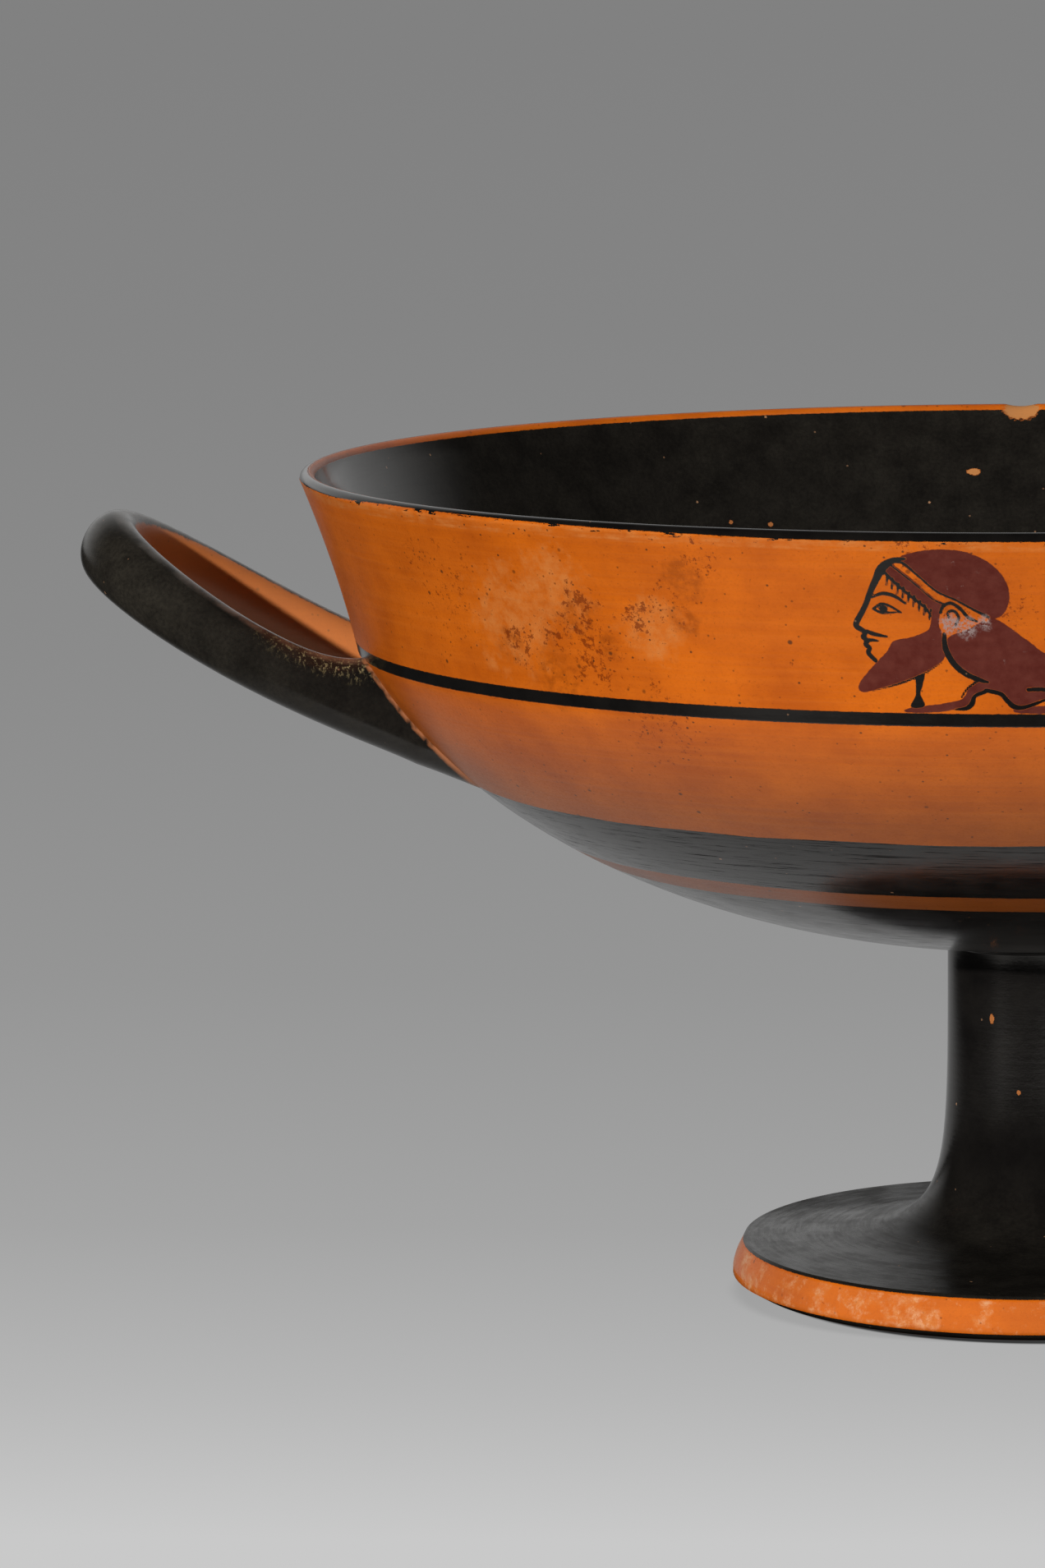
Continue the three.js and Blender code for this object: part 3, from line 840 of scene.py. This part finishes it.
# The rod's stations lie at even lengths along the line, so that the tight bends get as many as the arms.
dense = loop_line(np.linspace(0, 1, 4001))
length = np.concatenate([[0], np.cumsum(np.linalg.norm(np.diff(dense, axis=0), axis=1))])
stations = 150
even = np.linspace(0, length[-1], stations)
centre = np.stack([np.interp(even, length, dense[:, axis]) for axis in range(3)], axis=-1)
soften = np.array([1, 4, 6, 4, 1]) / 16
for _ in range(6):
    centre[2:-2] = sum(weight * centre[k:len(centre) - 4 + k] for k, weight in enumerate(soften))
tangent = np.gradient(centre, axis=0)
tangent /= np.linalg.norm(tangent, axis=1)[:, None]
loop_up = np.array([-rise, 0, reach]) / math.hypot(rise, reach)
upward = loop_up - (tangent @ loop_up)[:, None] * tangent
upward /= np.linalg.norm(upward, axis=1)[:, None]
inward = np.cross(upward, tangent)
inward *= np.where(inward[len(inward) // 2, 0] > 0, -1, 1)

# The section is an ellipse square to the line; it spreads a little where it was smoothed onto the wall.
outer_wall = np.concatenate([bezier(lip_curve, 80), bezier(bowl_curve, 400)[1:]])
turn = np.linspace(0, 2 * math.pi, 49)[:-1]
centre_radius = np.hypot(centre[:, 0], centre[:, 1])
centre_clear = centre_radius - np.interp(centre[:, 2], outer_wall[::-1, 1], outer_wall[::-1, 0])
flare_width, flare_fade, flare_upright = 0.5, 1.6, 0.6
flare = flare_width * np.exp(-np.maximum(centre_clear, 0) / flare_fade)
# Over each root the clay is drawn up the wall in a web, on the upper side alone and more at one root than at
# the other. It falls off with the distance from the wall.
web_height, web_from, web_fade, lesser_web = 7.0, 5.1, 3.0, 0.35
web = web_height * np.exp(-np.maximum(centre_clear - web_from, 0) / web_fade)
web *= np.where(centre[:, 1] > 0, 1, lesser_web)
share_out = np.clip((centre[:, 0] - root_x) / reach, 0, 1)
faces_in, faces_up = (part + 0 * centre_radius[:, None] for part in (np.cos(turn), np.sin(turn)))
rod_height = half_height + tip_growth * share_out + flare_upright * flare
rod_points = (centre[:, None, :]
              + ((half_width + flare)[:, None] * faces_in)[..., None] * inward[:, None, :]
              + ((rod_height[:, None] + web[:, None] * (faces_up > 0)) * faces_up)[..., None]
              * upward[:, None, :])
points_radius = np.hypot(rod_points[..., 0], rod_points[..., 1])
core = wall_core(rod_points[..., 2])
rod_points[..., :2] *= (np.maximum(points_radius, core) / points_radius)[..., None]
gap = np.hypot(rod_points[..., 0], rod_points[..., 1])[..., None] - outer_wall[:, 0]
drop = rod_points[..., 2][..., None] - outer_wall[:, 1]
clear = np.sqrt(np.min(gap ** 2 + drop ** 2, axis=-1))

# Each rod is closed by a point at either buried end, pushed no deeper than the middle of the wall.
ends = centre[[0, -1]].copy()
end_radius = np.hypot(ends[:, 0], ends[:, 1])
ends[:, :2] *= (np.maximum(end_radius, wall_core(ends[:, 2])) / end_radius)[:, None]
ring_rows = np.concatenate([np.repeat(ends[:1], len(turn), 0)[None], rod_points,
                            np.repeat(ends[1:], len(turn), 0)[None]])
rod_floats = {label: np.concatenate([values[:1], values, values[-1:]]).ravel() for label, values in (
    ("clear", clear), ("faces_in", faces_in), ("faces_up", faces_up))}
rod_faces = grid_faces(len(ring_rows), len(turn))[:(len(ring_rows) - 1) * len(turn)]

handle_paint, tree = empty_material("handle_paint")
position = millimetres(tree)
wall_gap = attribute(tree, "clear")
inner_side, upper_side = attribute(tree, "faces_in"), attribute(tree, "faces_up")
ragged = uneven(tree, position, 0.45, 0.9, 4, 0.65)
# The inner side is bare, with the slip lapping further in at the tip, and so is a strip along the wall.
wall_strip = 0.45
bare_from = rescale(tree, wall_gap, 21, 30, 0.3, 0.72)
bare_inside = times(tree, math_node(tree, "SUBTRACT", inner_side, bare_from), half_width)
bare_at_wall = math_node(tree, "SUBTRACT", wall_strip, wall_gap)
bare_edge = greatest(tree, scaled(tree, ragged, 1.3, bare_inside), scaled(tree, ragged, 0.3, bare_at_wall))
slip_share = rescale(tree, bare_edge, 0.2, -0.2)
clay_look = add(tree, "Group", {"Place": position, "Soiled": 0.2}, node_tree=clay).outputs
slip_look = add(tree, "Group", {"Place": position, "Worn": rescale(tree, wall_gap, 8, 28, 0.2, 0.55),
                                "Dulled": 0.6}, node_tree=slip).outputs
# Clay in the crease at the wall is darkened, for dirt and painted shade.
dust_and_sheen_clay, crease_dirt_and_shade = (0.46, 0.205, 0.082), (0.22, 0.09, 0.045)
dust_and_sheen_share, scratch_cover = 0.5, 0.7
# Half of the bare clay is paler and greyer: dust, and a painted grey sheen.
clay_colour = mix_colour(tree, dust_and_sheen_share, clay_look["Color"], dust_and_sheen_clay)
clay_colour = mix_colour(tree, rescale(tree, wall_gap, 0.2, 2.0, 0.75, 0), clay_colour, crease_dirt_and_shade)
# The upper edge is worn pale near the root, in short scratches. All along its top it is lighter: rubbed
# thin, and a painted highlight.
scratch_pale, top_wear_and_highlight_grey, top_wear_and_highlight_brown = (0.34, 0.27, 0.13), (0.13, 0.115, 0.10), (0.25, 0.12, 0.07)
scratches = cloud(tree, stretched(tree, position, (2.2, 2.2, 0.7)), 1.0, 4, 0.7)
scratched = times(tree, rescale(tree, wall_gap, 15, 7), rescale(tree, upper_side, 0.45, 0.85),
                  rescale(tree, scratches, 0.54, 0.64), scratch_cover)
slip_colour = mix_colour(tree, scratched, slip_look["Color"], scratch_pale)
# Along the rod's top: wear and a painted highlight, browner near the root.
rubbed = times(tree, rescale(tree, upper_side, 0.86, 1.0),
               rescale(tree, cloud(tree, position, 0.3, 3, 0.6), 0.4, 0.65, 0.1, 0.7))
top_wear_and_highlight_colour = mix_colour(tree, rescale(tree, wall_gap, 22, 10), top_wear_and_highlight_grey, top_wear_and_highlight_brown)
slip_colour = mix_colour(tree, rubbed, slip_colour, top_wear_and_highlight_colour)
colour = mix_colour(tree, slip_share, clay_colour, slip_colour)
surface(tree, colour, *under_slip(tree, slip_share, clay_look, slip_look))

for name, side in (("handle_right", 1), ("handle_left", -1)):
    handle = closed_piece(name, ring_rows.reshape(-1, 3) * (side * MM, side * MM, MM), rod_faces, rod_floats)
    handle.data.materials.append(handle_paint)
    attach(handle, "root")
    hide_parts("kylix_cup")
